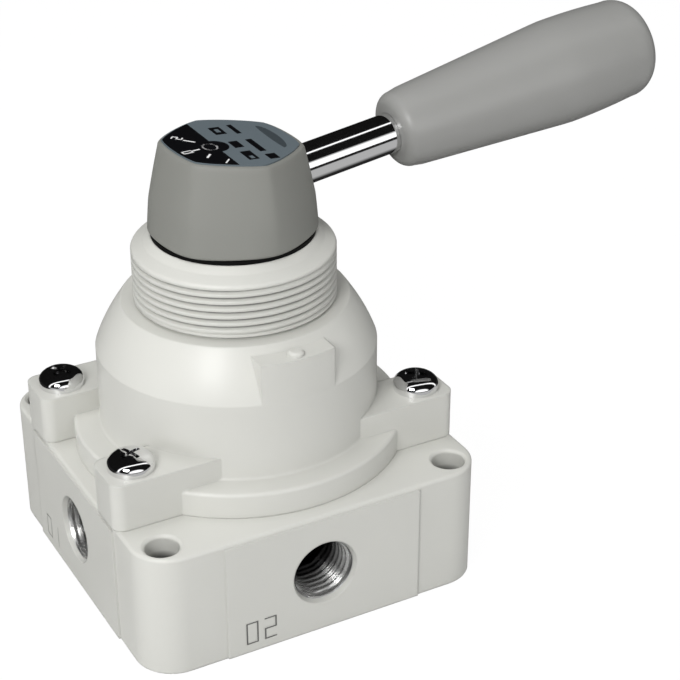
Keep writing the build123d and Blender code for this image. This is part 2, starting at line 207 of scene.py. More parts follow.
def port_walls(finish):
    """How much a point is on a port wall, and how near it is to the mouth, which drives a painted shade
    deeper in.
    """
    spot = finish.node("ShaderNodeSeparateXYZ", {}, {0: finish.place()})
    parts = [Wire(finish, spot.socket.node.outputs[axis]) for axis in range(3)]
    rise = parts[2] - 13 * MM
    walls = []
    for across, along in ((parts[1], parts[0]), (parts[0], parts[1])):
        off_axis = across.maths("SQRT", across * across + rise * rise)
        outward = across.maths("ABSOLUTE", along)
        near = 1 - off_axis.above(6.62 * MM, 0.02 * MM)
        covered = 1 - outward.above(half - 0.9 * MM, 0.1 * MM)
        lit = outward.above(half - 5.2 * MM, 3.6 * MM)
        walls.append((near * covered, near * lit))
    (first, first_lit), (second, second_lit) = walls
    return first.maths("MAXIMUM", first, second), first.maths("MAXIMUM", first_lit, second_lit)


def painted_hole_shade(finish):
    """1 deep in a mounting hole and 0 elsewhere; the mask for painted shade in the holes."""
    spot = finish.node("ShaderNodeSeparateXYZ", {}, {0: finish.place()})
    parts = [Wire(finish, spot.socket.node.outputs[axis]) for axis in range(3)]
    off_x, off_y = (part.maths("ABSOLUTE", part) - hole_offset for part in parts[:2])
    off_axis = off_x.maths("SQRT", off_x * off_x + off_y * off_y)
    in_hole = 1 - off_axis.above(3.45 * MM, 0.02 * MM)
    return in_hole * (1 - parts[2].above(deck - 4.2 * MM, 1.0 * MM))


def painted_thread_root_shade(finish):
    """1 at the root of the neck thread and 0 on its ridges and everywhere else; the mask for painted shade
    in the grooves.
    """
    spot = finish.node("ShaderNodeSeparateXYZ", {}, {0: finish.place()})
    x, y, height = [Wire(finish, spot.socket.node.outputs[axis]) for axis in range(3)]
    off_axis = x.maths("SQRT", x * x + y * y)
    in_groove = 1 - off_axis.above(19.34 * MM, 0.22 * MM)
    below_crown = 1 - height.above(deck + 41.3 * MM, 0.1 * MM)
    return in_groove * below_crown * height.above(deck + 31.9 * MM, 0.1 * MM)


def painted_casting(machined=False):
    """Satin spray paint; the port threads of the base are bare machined metal."""
    finish = Finish("painted casting", Roughness=0.42, Coat_Weight=0.10, Coat_Roughness=0.25)
    mottle = finish.noise(55.0, 4.0)
    colour = finish.mix(mottle, PAINT_SHADE, PAINT_LIGHT)
    roughness = 0.36 + mottle * 0.12
    if machined:
        bare, lit = port_walls(finish)
        # Painted shade: the bare port wall is painted near black deep inside and light grey near the mouth.
        metal = finish.mix(lit, (0.015, 0.015, 0.015, 1), (0.66, 0.66, 0.65, 1))
        colour = finish.mix(bare, colour, metal)
        roughness = roughness - bare * 0.16
        finish.feed("Metallic", bare * 0.9)
        # Painted shade: the mounting hole walls are painted near black below the deck.
        colour = finish.mix(painted_hole_shade(finish), colour, (0.035, 0.035, 0.034, 1))
    else:
        # Painted shade: the roots of the neck thread are painted darker.
        colour = finish.mix(painted_thread_root_shade(finish), colour, (0.20, 0.20, 0.19, 1))
    finish.feed("Base Color", colour)
    finish.feed("Roughness", roughness)
    grain = finish.noise(1500.0, 3.0, 0.6)
    finish.feed("Normal", finish.bump(grain, 0.00002, 0.35, rounding=0.0006))
    return finish.material


def moulded_plastic(name, colour, roughness, rounding):
    finish = Finish(name, Roughness=roughness)
    cloud = finish.noise(40.0, 2.0)
    darker = tuple(0.965 * part for part in colour[:3]) + (1,)
    finish.feed("Base Color", finish.mix(cloud, darker, colour))
    finish.feed("Roughness", roughness - 0.04 + cloud * 0.08)
    grain = finish.noise(2600.0, 2.0)
    finish.feed("Normal", finish.bump(grain, 0.00001, 0.25, rounding=rounding))
    return finish.material


def polished_chrome():
    finish = Finish("polished chrome", Metallic=1.0, Roughness=0.07)
    smear = finish.noise(30.0, 2.0)
    finish.feed("Base Color", finish.mix(smear, (0.78, 0.78, 0.79, 1), (0.86, 0.86, 0.86, 1)))
    finish.feed("Roughness", 0.04 + smear * 0.06)
    return finish.material


def brushed_metal(name, colour):
    finish = Finish(name, Metallic=1.0, Roughness=0.32)
    streak = finish.noise(420.0, 3.0)
    darker = tuple(0.85 * part for part in colour[:3]) + (1,)
    finish.feed("Base Color", finish.mix(streak, darker, colour))
    finish.feed("Roughness", 0.26 + streak * 0.16)
    return finish.material


def plain_moulding(name, colour, roughness, shine=0.5):
    finish = Finish(name, Roughness=roughness, Specular_IOR_Level=shine)
    cloud = finish.noise(60.0, 2.0)
    darker = tuple(0.9 * part for part in colour[:3]) + (1,)
    finish.feed("Base Color", finish.mix(cloud, darker, colour))
    finish.feed("Roughness", roughness - 0.05 + cloud * 0.1)
    return finish.material


casting = painted_casting()
machined_casting = painted_casting(machined=True)
hub_plastic = moulded_plastic("hub plastic", (0.214, 0.216, 0.198, 1), 0.55, 0.0007)
grip_plastic = moulded_plastic("grip plastic", (0.280, 0.280, 0.270, 1), 0.38, 0.0004)
chrome = polished_chrome()
steel = brushed_metal("brushed steel", (0.56, 0.56, 0.57, 1))
brass = brushed_metal("brass", (0.72, 0.55, 0.28, 1))
rubber = plain_moulding("black rubber", (0.003, 0.003, 0.003, 1), 0.6, 0.1)
acetal = plain_moulding("acetal", (0.78, 0.77, 0.72, 1), 0.35)
label_black = plain_moulding("label black", (0.004, 0.004, 0.005, 1), 0.55, 0.08)
label_grey = plain_moulding("label grey", (0.120, 0.148, 0.165, 1), 0.5, 0.2)
label_white = plain_moulding("label white", (0.80, 0.80, 0.80, 1), 0.4, 0.2)
label_deep = plain_moulding("label deep grey", (0.050, 0.062, 0.070, 1), 0.5, 0.1)
# Grey laid in the engraved port numbers as painted shade.
groove_shade_grey = plain_moulding("painted groove shade grey", (0.13, 0.13, 0.125, 1), 0.6)
print("materials:", len(bpy.data.materials))

# %% [markdown]
# ## Dressing the CAD nodes
#
# Every CAD node gets its own finish first. Inner pieces keep their CAD shape; the visible ones are
# replaced further down by smoother pieces of the same size.

# %%
node_finish = {
    "base_block": machined_casting, "bonnet": casting, "bonnet_screws": chrome, "lever_rod": chrome,
    "lever_hub": hub_plastic, "grip": grip_plastic, "name_plate": label_grey,
    "body_o_ring": rubber, "dust_seal": rubber, "spindle_o_ring": rubber,
    "seat_seal": acetal, "thrust_washer": acetal, "rotor_disc": acetal,
    "spindle_bush": brass, "grip_insert": brass,
}


def dress(thing, finish):
    thing.data.materials.clear()
    thing.data.materials.append(finish)


for node_name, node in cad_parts.items():
    if node.type == "MESH":
        dress(node, node_finish.get(node_name, steel))
print("dressed", len(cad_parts), "nodes")

# %% [markdown]
# ## Making solid pieces
#
# Four builders cover every shape. `turned` spins a closed outline round an axis. `raised` lifts a
# flat outline. `ringed` spins an outline whose radius may change with the angle, which gives
# threads and soft hexagons. `combine` cuts or joins with the exact boolean solver.

# %%
def mesh_object(name, points, faces):
    mesh = bpy.data.meshes.new(name)
    mesh.from_pydata([tuple(point) for point in points], [], faces)
    shape = bmesh.new()
    shape.from_mesh(mesh)
    bmesh.ops.recalc_face_normals(shape, faces=shape.faces)
    shape.to_mesh(mesh)
    shape.free()
    made = bpy.data.objects.new(name, mesh)
    bpy.context.scene.collection.objects.link(made)
    return made


def ringed(name, rows, segments):
    """Stacks rings: each row is a function of the angle that returns (radius, height)."""
    points = []
    for row in rows:
        for step in range(segments):
            angle = 2 * math.pi * step / segments
            radius, height = row(angle)
            points.append((radius * math.cos(angle), radius * math.sin(angle), height))
    faces = []
    for level in range(len(rows) - 1):
        for step in range(segments):
            after = (step + 1) % segments
            here = level * segments
            over = here + segments
            faces.append((here + step, here + after, over + after, over + step))
    faces.append(tuple(range(segments)))
    top = (len(rows) - 1) * segments
    faces.append(tuple(top + step for step in range(segments)))
    return mesh_object(name, points, faces)


def turned(name, outline, segments=160):
    """Spins (radius, height) pairs, from the foot up, into a closed solid."""
    rows = [lambda angle, pair=pair: pair for pair in outline]
    return ringed(name, rows, segments)


def raised(name, outline, low, high):
    points = [(x, y, low) for x, y in outline] + [(x, y, high) for x, y in outline]
    count = len(outline)
    faces = [tuple(range(count)), tuple(range(count, 2 * count))]
    for step in range(count):
        after = (step + 1) % count
        faces.append((step, after, count + after, count + step))
    return mesh_object(name, points, faces)


def rounded_rectangle(width, depth, radius, centre=(0, 0), steps=12):
    outline = []
    corners = ((1, 1, 0), (-1, 1, 90), (-1, -1, 180), (1, -1, 270))
    for side_x, side_y, start in corners:
        for step in range(steps + 1):
            angle = math.radians(start + 90 * step / steps)
            x = centre[0] + side_x * (width / 2 - radius) + radius * math.cos(angle)
            y = centre[1] + side_y * (depth / 2 - radius) + radius * math.sin(angle)
            outline.append((x, y))
    return outline


def arc(centre, radius, start, end, steps):
    """Points along an arc in the (radius, height) plane, angles in degrees."""
    found = []
    for step in range(steps + 1):
        angle = math.radians(start + (end - start) * step / steps)
        found.append((centre[0] + radius * math.cos(angle), centre[1] + radius * math.sin(angle)))
    return found


def move(thing, matrix):
    thing.data.transform(matrix)
    if matrix.determinant() < 0:
        thing.data.flip_normals()
    return thing


def combine(target, tools, operation):
    for tool in tools:
        step = target.modifiers.new("step", "BOOLEAN")
        step.operation = operation
        step.solver = "EXACT"
        step.object = tool
        graph = bpy.context.evaluated_depsgraph_get()
        result = bpy.data.meshes.new_from_object(target.evaluated_get(graph))
        target.modifiers.clear()
        target.data = result
        bpy.data.objects.remove(tool)
    return target


hair = 0.0006 * MM


def tidied(mesh):
    """Takes out the hair-thin faces that a boolean leaves where two surfaces nearly meet."""
    shape = bmesh.new()
    shape.from_mesh(mesh)
    bmesh.ops.dissolve_degenerate(shape, dist=hair, edges=shape.edges)
    shape.to_mesh(mesh)
    shape.free()


def smooth(thing, degrees=28):
    tidied(thing.data)
    thing.data.shade_smooth()
    thing.data.set_sharp_from_angle(angle=math.radians(degrees))
    return thing


def finished(thing, body, finish, *nodes, crease=28):
    """Gives a piece its material, lets it ride on a body and stand for its CAD nodes."""
    dress(thing, finish)
    smooth(thing, crease)
    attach(thing, body)
    if nodes:
        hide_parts(*nodes)
    return thing


print("builders ready")

# %% [markdown]
# ## Threads
#
# A thread is a ring stack whose radius depends on height minus pitch times turns. The depth fades
# out at both ends, as a tap or a die leaves it.

# %%
def thread_wave(height, angle, pitch, flat=0.42):
    """1 on the crest and 0 in the root, for a ridge that climbs one pitch each turn."""
    phase = (height / pitch - angle / (2 * math.pi)) % 1.0
    ridge = abs(2 * phase - 1)
    return min(1.0, max(0.0, (1 - ridge) / (1 - flat)))


def fade(value, low, high, run):
    return max(0.0, min(1.0, (value - low) / run, (high - value) / run))


def threaded_rows(low, high, pitch, crest, depth, steps, run):
    count = int(round((high - low) / pitch * steps))

    def row_at(height):
        def row(angle):
            cut = (1 - thread_wave(height, angle, pitch)) * fade(height, low, high, run)
            return crest(height) - depth * cut, height
        return row

    return [row_at(low + (high - low) * step / count) for step in range(count + 1)]


print("thread helper ready")

# %% [markdown]
# ## Base block
#
# A rounded square with a raised pad on each side. The pads stop just under the deck, which leaves
# the fine step seen below the top edge. Ports are cut with a threaded tool, so their walls carry
# real ridges; the smaller drillings, the seat pocket and the ring groove follow the CAD.

# %%
pad_rise = 0.4 * MM
pad_half = 21 * MM
pad_top = deck - 0.9 * MM
corner = 8 * MM
port_height = 13 * MM
port_radius = 5.73 * MM
port_depth = 13 * MM
passage_radius = 3.5 * MM
passage_circle = 13 * MM
hole_radius = 3.3 * MM


def softened_block(name, size, radius, low, high, edge):
    """A rounded square prism whose upper edge is rounded too."""
    rings = [(low, 0.0), (high - edge, 0.0)]
    for step in range(1, 6):
        angle = math.pi / 2 * step / 5
        rings.append((high - edge + edge * math.sin(angle), edge * (1 - math.cos(angle))))
    points = []
    for level, inset in rings:
        outline = rounded_rectangle(size - 2 * inset, size - 2 * inset, radius - inset)
        points += [(x, y, level) for x, y in outline]
    count = len(points) // len(rings)
    faces = [tuple(range(count)), tuple(range(len(points) - count, len(points)))]
    for ring in range(len(rings) - 1):
        for step in range(count):
            after = (step + 1) % count
            low_row = ring * count
            high_row = low_row + count
            faces.append((low_row + step, low_row + after, high_row + after, high_row + step))
    return mesh_object(name, points, faces)


def port_crest(level):
    """The taper of the port thread: wide at the mouth, narrower further in."""
    return 6.35 * MM + level * 0.03


def port_tool(turn_degrees):
    """A threaded cutter that lies along +X and reaches in from the side face."""
    mouth = 6.88 * MM
    pitch = 1.337 * MM
    over = 1 * MM
    rows = [lambda angle: (mouth, over)]
    rows += [lambda angle: (mouth, -0.05 * MM)]
    low = -port_depth + 1.0 * MM
    high = -1.15 * MM
    thread = threaded_rows(low, high, pitch, port_crest, 0.75 * MM, 8, 1.2 * MM)
    rows += reversed(thread)
    rows.append(lambda angle: (port_radius, -port_depth))
    rows.append(lambda angle: (passage_radius, -port_depth))
    rows.append(lambda angle: (passage_radius, passage_circle - half))
    tool = ringed("port_tool", rows, 72)
    lay = Matrix.Rotation(math.radians(90), 4, "Y")
    shift = Matrix.Translation((half, 0, port_height))
    return move(tool, Matrix.Rotation(math.radians(turn_degrees), 4, "Z") @ shift @ lay)


def hole_tool(x, y, low, high, radius, mouth=0.0):
    outline = [(radius + 1.5 * mouth, low - 0.5 * mouth), (radius, low + mouth)]
    outline += [(radius, high - mouth), (radius + 1.5 * mouth, high + 0.5 * mouth)]
    if not mouth:
        outline = [(radius, low), (radius, high)]
    return move(turned("hole_tool", outline, 48), Matrix.Translation((x, y, 0)))


def base_piece():
    block = softened_block("cast_base", 2 * (half - pad_rise), corner, 0, deck, 0.7 * MM)
    pads = [rounded_rectangle(2 * half, 2 * pad_half, 0.05 * MM, steps=1),
            rounded_rectangle(2 * pad_half, 2 * half, 0.05 * MM, steps=1)]
    combine(block, [raised("pad", outline, 0, pad_top) for outline in pads], "UNION")
    tools = [turned("pocket", [(24 * MM, 20 * MM), (24 * MM, deck + MM)])]
    tools += [port_tool(turn) for turn in (0, 90, 180, 270)]
    for step in range(4):
        angle = math.pi / 2 * step
        place = (passage_circle * math.cos(angle), passage_circle * math.sin(angle))
        tools.append(hole_tool(*place, port_height, 20.5 * MM, passage_radius))
    for x in (-hole_offset, hole_offset):
        for side in (-1, 1):
            tools.append(hole_tool(x, side * hole_offset, 0, deck, hole_radius, 0.5 * MM))
            tools.append(hole_tool(x, side * screw_y, 14 * MM, deck + MM, screw_shank))
    combine(block, tools, "DIFFERENCE")
    groove = turned("groove", [(27 * MM, deck - 1.6 * MM), (27 * MM, deck + MM)])
    core = turned("core", [(25.4 * MM, deck - 2 * MM), (25.4 * MM, deck + 2 * MM)])
    combine(groove, [core], "DIFFERENCE")
    return combine(block, [groove], "DIFFERENCE")


cast_base = base_piece()
print("base:", len(cast_base.data.polygons), "faces")

# %% [markdown]
# ## Port numbers
#
# Each side carries a plain port number of straight engraved strokes, seven segment style. The
# strokes are real grooves in the mesh, because a groove catches the light at its edges, and a
# thin grey piece lies in the bottom of each as painted shade, so that the number reads dark from a
# distance.

# %%
SEGMENTS = {"0": "abcdef", "1": "bc", "2": "abged", "3": "abgcd", "4": "fgbc"}
stroke = 0.34 * MM
digit_wide = 2.6 * MM
digit_high = 5.0 * MM


def digit_strokes(digit, left, foot):
    """Rectangles (x, z, width, height) for each stroke of a digit."""
    middle = foot + digit_high / 2
    right = left + digit_wide - stroke
    bars = {
        "a": (left, foot + digit_high - stroke, digit_wide, stroke),
        "g": (left, middle - stroke / 2, digit_wide, stroke),
        "d": (left, foot, digit_wide, stroke),
        "f": (left, middle, stroke, digit_high / 2),
        "b": (right, middle, stroke, digit_high / 2),
        "e": (left, foot, stroke, digit_high / 2),
        "c": (right, foot, stroke, digit_high / 2),
    }
    return [bars[name] for name in SEGMENTS[digit]]


def mark_strokes(digits, turn_degrees, inner, outer):
    """One small block per stroke, between two distances outside (-) or inside (+) the face."""
    tools = []
    for place, digit in enumerate(digits):
        left = -17.2 * MM + place * 3.9 * MM
        for x, z, width, height in digit_strokes(digit, left, 1.9 * MM):
            outline = [(x, outer), (x + width, outer), (x + width, inner), (x, inner)]
            tools.append(raised("stroke", outline, z, z + height))
    for tool in tools:
        move(tool, Matrix.Rotation(math.radians(turn_degrees), 4, "Z"))
    return tools


for digits, turn_degrees in (("02", 0), ("03", 90), ("04", 180), ("01", 270)):
    groove_floor = -half + 0.20 * MM
    combine(cast_base, mark_strokes(digits, turn_degrees, groove_floor, -half - MM), "DIFFERENCE")
    # The grey fill is painted shade in the bottom of each engraved stroke.
    fill = mark_strokes(digits, turn_degrees, groove_floor, -half + 0.07 * MM)
    shade_inlay = combine(fill[0], fill[1:], "UNION")
    shade_inlay.name = f"port_number_shade_{digits}"
    finished(shade_inlay, "valve_body", groove_shade_grey)
finished(cast_base, "valve_body", machined_casting, "base_block")
print("engraved four port numbers")

# %% [markdown]
# ## Bonnet
#
# Two bars make the four screw lugs. The clamping flange, dome, shoulder and neck are one turned
# form with the M40 thread as real ridges, and a flat platform with a pip sits on the front of the
# shoulder. The chamber and the bore are cut last.

# %%
flange_radius = 33.3 * MM
dome_radius = 28 * MM
lug_top = deck + 10 * MM
platform_top = deck + 29.5 * MM


def shoulder_profile():
    """Flange, dome and shoulder, from the deck up to the ledge round the neck."""
    flange_top = deck + 5.3 * MM
    profile = [(flange_radius, deck)]
    profile += arc((flange_radius - 0.7 * MM, flange_top - 0.7 * MM), 0.7 * MM, 0, 90, 6)
    profile += arc((dome_radius + 0.6 * MM, flange_top + 0.6 * MM), 0.6 * MM, 270, 180, 5)
    crease = deck + 21.2 * MM
    ledge = deck + 31 * MM
    profile.append((dome_radius, crease))
    for step in range(1, 13):
        share = step / 12
        bulge = 0.9 * MM * 4 * share * (1 - share) / 2
        profile.append((dome_radius - 5.4 * MM * share + bulge, crease + (ledge - crease) * share))
    profile.append((18.9 * MM, ledge))
    return profile


crown_top = neck_top - 0.6 * MM


def neck_rows():
    low = deck + 31.6 * MM
    high = deck + 41.7 * MM
    rows = threaded_rows(low, high, 1.5 * MM, lambda level: 20 * MM, 0.98 * MM, 16, 0.9 * MM)
    crown = arc((18.9 * MM, high - 0.2 * MM), 1.1 * MM, 10, 48, 6)
    crown += [(17.6 * MM, high + 1.6 * MM), (16.2 * MM, crown_top)]
    return rows + [lambda angle, pair=pair: pair for pair in crown]


def bonnet_piece():
    rows = [lambda angle, pair=pair: pair for pair in shoulder_profile()] + neck_rows()
    body = ringed("cast_bonnet", rows, 240)
    lugs = []
    for side in (-1, 1):
        outline = rounded_rectangle(2 * half, 11.1 * MM, 2.5 * MM, (0, side * 18.05 * MM))
        lugs.append(raised("lug_bar", outline, deck, lug_top))
    platform = [(-7.75 * MM, -18 * MM)]
    edge = math.asin(7.75 / 27.95)
    for step in range(25):
        angle = -math.pi / 2 - edge + 2 * edge * step / 24
        platform.append((27.95 * MM * math.cos(angle), 27.95 * MM * math.sin(angle)))
    platform.append((7.75 * MM, -18 * MM))
    lugs.append(raised("platform", platform, deck + 12 * MM, platform_top))
    combine(body, lugs, "UNION")
    pip_outline = [(1.6 * MM, platform_top - MM), (1.6 * MM, platform_top + 0.5 * MM)]
    pip_outline.append((1.1 * MM, platform_top + 0.9 * MM))
    pip = turned("pip", pip_outline, 40)
    combine(body, [move(pip, Matrix.Translation((0, -25.8 * MM, 0)))], "UNION")
    tools = [turned("chamber", [(23.5 * MM, deck - MM), (23.5 * MM, deck + 20 * MM)])]
    tools.append(turned("bore", [(9 * MM, deck + 19 * MM), (9 * MM, neck_top + MM)]))
    for x in (-hole_offset, hole_offset):
        for side in (-1, 1):
            tools.append(hole_tool(x, side * screw_y, deck - MM, lug_top + MM, screw_shank))
    return combine(body, tools, "DIFFERENCE")


cast_bonnet = finished(bonnet_piece(), "valve_body", casting, "bonnet", crease=16)
print("bonnet:", len(cast_bonnet.data.polygons), "faces")

# %% [markdown]
# ## Bonnet screws
#
# Pan heads with a cross recess. Each screw is turned a little differently, as hands leave them.

# %%
def cross_screw(x, y, turn_degrees):
    seat = lug_top
    rise = screw_high[2] - seat
    profile = [(2.5 * MM, screw_low[2]), (2.5 * MM, seat), (4.55 * MM, seat), (4.6 * MM, seat + 0.3 * rise)]
    for step in range(1, 10):
        angle = math.pi / 2 * step / 10
        profile.append((4.6 * MM * math.cos(angle) ** 0.75, seat + rise * (0.3 + 0.7 * math.sin(angle))))
    screw = turned("bonnet_screw", profile, 64)
    recess = []
    for quarter in (0, 90):
        blade = []
        for along, across, level in ((2.5, 0.42, 1), (0.6, 0.3, -1)):
            for side_a, side_b in ((1, 1), (-1, 1), (-1, -1), (1, -1)):
                height = seat + rise + (0.2 * MM if level > 0 else -2.2 * MM)
                blade.append((side_a * along * MM, side_b * across * MM, height))
        faces = [(0, 1, 2, 3), (7, 6, 5, 4), (0, 4, 5, 1), (1, 5, 6, 2), (2, 6, 7, 3), (3, 7, 4, 0)]
        tool = mesh_object("blade", blade, faces)
        recess.append(move(tool, Matrix.Rotation(math.radians(quarter), 4, "Z")))
    combine(screw, recess, "DIFFERENCE")
    return move(screw, Matrix.Translation((x, y, 0)) @ Matrix.Rotation(math.radians(turn_degrees), 4, "Z"))


screws = []
for side_x, side_y, turn_degrees in ((-1, -1, 20), (1, -1, 52), (-1, 1, 35), (1, 1, 8)):
    screws.append(cross_screw(side_x * hole_offset, side_y * 18 * MM, turn_degrees))
for screw in screws:
    finished(screw, "valve_body", chrome, "bonnet_screws")
print("screws:", len(screws))

# %% [markdown]
# ## Lever hub
#
# The hub is a cone with six drafted flats. At each height the radius is a soft minimum of the
# cone and the flat, which rounds the corners between flats and fades the flats out at the foot.
# The crown slopes down a little towards the lever.

# %%
crown_axis = hub_foot + 16.5 * MM
skirt_foot = hub_foot - 0.6 * MM
facet_turn = 5.0
crown_slope = math.tan(math.radians(3.7))


def crown_height(angle, radius):
    return crown_axis - crown_slope * radius * math.cos(angle)


def hub_radius(angle, height):
    rise = (height - hub_foot) / (16.5 * MM)
    waist = min(1.0, max(0.0, (height - hub_foot) / (6 * MM)))
    cone = 16.6 - 0.3 * waist - 1.8 * max(0.0, (height - hub_foot - 6 * MM) / (10.5 * MM))
    flat = 16.6 - 2.95 * rise
    turn = (math.degrees(angle) - facet_turn + 30) % 60 - 30
    facet = flat / math.cos(math.radians(turn))
    sharpness = 17 - 9 * min(1.0, max(0.0, rise))
    blend = (cone ** -sharpness + facet ** -sharpness) ** (-1 / sharpness)
    return blend * MM


def hub_rows():
    def at(share, inset):
        def row(angle):
            radius = hub_radius(angle, crown_axis) - inset
            level = crown_height(angle, radius)
            height = skirt_foot + (level - skirt_foot) * share
            return hub_radius(angle, height) - inset, height
        return row

    rows = [at(0.0, 0.35 * MM), at(0.018, 0.0)]
    rows += [at(0.02 + 0.955 * step / 20, 0.0) for step in range(1, 21)]
    rows += [at(0.992, 0.1 * MM), at(1.0, 0.4 * MM)]
    return rows


rod_tilt = math.radians(8.5)
rod_height = 78.7 * MM
rod_start = Vector((0, 0, rod_height))
rod_frame = Matrix.Translation(rod_start) @ Matrix.Rotation(math.pi / 2 - rod_tilt, 4, "Y")


def hub_piece():
    hub = ringed("moulded_hub", hub_rows(), 180)
    drive = raised("drive", rounded_rectangle(9 * MM, 12 * MM, 2 * MM), skirt_foot - MM, hub_foot + 9 * MM)
    room = turned("room", [(5 * MM, hub_foot + 11.5 * MM), (5 * MM, hub_foot + 20 * MM)], 64)
    rod = move(turned("rod_room", [(4 * MM, 8.6 * MM), (4 * MM, 25 * MM)], 64), rod_frame)
    return combine(hub, [drive, room, rod], "DIFFERENCE")


moulded_hub = finished(hub_piece(), "lever", hub_plastic, "lever_hub")
print("hub:", len(moulded_hub.data.polygons), "faces")

# %% [markdown]
# ## Label
#
# The printed sheet follows the crown's outline. One side is black with the dial numbers 1, 0 and
# 2, their ticks and a ring; the other is blue grey with plain bars and boxes. Each mark is a very
# thin raised piece on the sheet.

# %%
crown_slope = math.radians(3.7)
crown_frame = Matrix.Translation((0, 0, crown_axis)) @ Matrix.Rotation(crown_slope, 4, "Y")
sheet_top = 0.26 * MM
mark_lift = 0.012 * MM


def crown_outline(inset, steps=144):
    outline = []
    for step in range(steps):
        angle = 2 * math.pi * step / steps
        radius = hub_radius(angle, crown_axis) - inset
        outline.append((radius * math.cos(angle), radius * math.sin(angle)))
    return outline


def cropped(outline, keep):
    """The points of an outline that pass a test; a straight edge closes the gap."""
    return [point for point in outline if keep(point)]


def on_sheet(thing, finish):
    move(thing, crown_frame)
    dress(thing, finish)
    smooth(thing)
    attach(thing, "lever")
    return thing


def bar(name, centre, length, width, turn_degrees, finish, level=0.0):
    angle = math.radians(turn_degrees)
    along = Vector((math.cos(angle), math.sin(angle)))
    across = Vector((-along.y, along.x))
    middle = Vector(centre) * MM
    corners = [(1, 1), (-1, 1), (-1, -1), (1, -1)]
    outline = [middle + along * (a * length / 2 * MM) + across * (b * width / 2 * MM) for a, b in corners]
    low = sheet_top + level
    return on_sheet(raised(name, [tuple(point) for point in outline], low, low + 0.015 * MM), finish)


def ring_mark(name, centre, outer, inner, finish, stretch=1.0):
    mark = turned(name, [(outer * MM, 0), (outer * MM, 0.015 * MM)], 48)
    combine(mark, [turned("hole", [(inner * MM, -MM), (inner * MM, MM)], 48)], "DIFFERENCE")
    place = Matrix.Translation((centre[0] * MM, centre[1] * MM, sheet_top + 0.01 * MM))
    return on_sheet(move(mark, place @ Matrix.Diagonal((stretch, 1, 1, 1))), finish)


sheet = raised("label_sheet", crown_outline(0.75 * MM), 0, sheet_top)
on_sheet(sheet, label_grey)
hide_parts("name_plate")
black_line = -3.2 * MM
black_outline = cropped(crown_outline(0.95 * MM), lambda point: point[0] < black_line)
black = raised("label_black_side", black_outline, sheet_top, sheet_top + 0.01 * MM)
on_sheet(black, label_black)
ring_mark("dial_boss", (-4.0, -1.2), 2.9, 0.05, label_black)
ring_mark("dial_ring", (-4.8, -1.2), 1.9, 1.45, label_white, 0.8)
for name, centre, length, width, turn_degrees in (
    ("tick_middle", (-7.9, -1.8), 1.6, 0.42, 12),
    ("tick_low", (-7.0, -5.4), 2.0, 0.42, 50),
    ("tick_high", (-7.2, 2.9), 2.4, 0.42, -45),
):
    bar(name, centre, length, width, turn_degrees, label_white, mark_lift)


dial_scale = 0.42


def dial_number(digit, centre, turn_degrees):
    """A small number of thin bars on the sheet, turned about its own middle."""
    spin = Matrix.Rotation(math.radians(turn_degrees), 2)
    strokes = digit_strokes(digit, -digit_wide / 2, -digit_high / 2)
    for count, (x, y, width, height) in enumerate(strokes):
        middle = spin @ Vector((x + width / 2, y + height / 2)) * (dial_scale / MM) + Vector(centre)
        long, thin = (width, turn_degrees) if width > height else (height, turn_degrees + 90)
        length = dial_scale * long / MM
        bar(f"dial_{digit}_{count}", tuple(middle), length, 0.3, thin, label_white, mark_lift)


for digit, centre, turn_degrees in (
    ("1", (-5.2, -8.6), -40),
    ("0", (-9.9, -2.3), -80),
    ("2", (-8.7, 5.2), -130),
):
    dial_number(digit, centre, turn_degrees)
for name, centre, length, width, turn_degrees in (
    ("box_high", (0.2, 6.2), 3.9, 2.3, 90),
    ("bar_high", (3.6, 6.0), 5.0, 1.0, 90),
    ("box_middle", (0.4, -1.6), 3.4, 1.9, 90),
    ("bar_middle", (3.7, -3.2), 6.6, 1.3, 90),
    ("box_low", (0.3, -7.6), 4.4, 2.1, 90),
    ("box_far", (4.1, -9.4), 2.6, 2.0, 90),
):
    bar(name, centre, length, width, turn_degrees, label_black)
for name, centre, length, width in (
    ("box_high_inner", (0.2, 6.2), 1.7, 0.9),
    ("box_low_inner", (0.3, -8.6), 1.3, 0.8),
):
    bar(name, centre, length, width, 90, label_grey, mark_lift)
lens = []
for step in range(-6, 7):
    angle = step * math.pi / 12
    lens.append((8.3 + 1.7 * math.cos(angle), 6.2 * math.sin(angle)))
for step in range(-5, 6):
    angle = step * math.pi / 12
    lens.append((8.3 - 0.4 * math.cos(angle), -6.2 * math.sin(angle)))
lens_piece = raised("badge_blank", [(x * MM, y * MM) for x, y in lens], sheet_top, sheet_top + 0.015 * MM)
on_sheet(lens_piece, label_deep)
print("label marks placed")

# %% [markdown]
# ## Rod and grip
#
# Both are turned round the rising lever axis. The grip widens in a straight taper, turns in again
# towards the tip and ends in a soft dome. It could be a scaled cylinder with a subdivision, but a
# profile in millimetres keeps the taper and both end rounds at their real sizes.

# %%
def grip_profile():
    start = 35.4
    tip = 95.4
    profile = [(6.0, start + 3), (4.0, start + 3), (4.0, start)]
    profile += arc((5.25, start + 2.5), 2.5, -90, 0, 8)
    waist = start + 38.6
    for step in range(1, 29):
        share = step / 28
        along = start + 2.5 + (tip - 6 - start - 2.5) * share
        if along <= waist:
            radius = 7.75 + 3.1 * (along - start) / 38.6
        else:
            beyond = (along - waist) / (tip - waist)
            radius = 10.85 + 0.35 * beyond - 1.5 * beyond * beyond
        profile.append((radius, along))
    end_radius = profile[-1][0]
    profile += arc((end_radius - 4.9, tip - 5.2), 4.9, 6, 84, 12)
    profile.append((3.0, tip - 0.06))
    profile.append((0.3, tip))
    return [(radius * MM, along * MM) for radius, along in profile]


rod = turned("chrome_rod", [(4 * MM, 8.6 * MM), (4 * MM, 58 * MM)], 96)
finished(move(rod, rod_frame), "lever", chrome, "lever_rod")


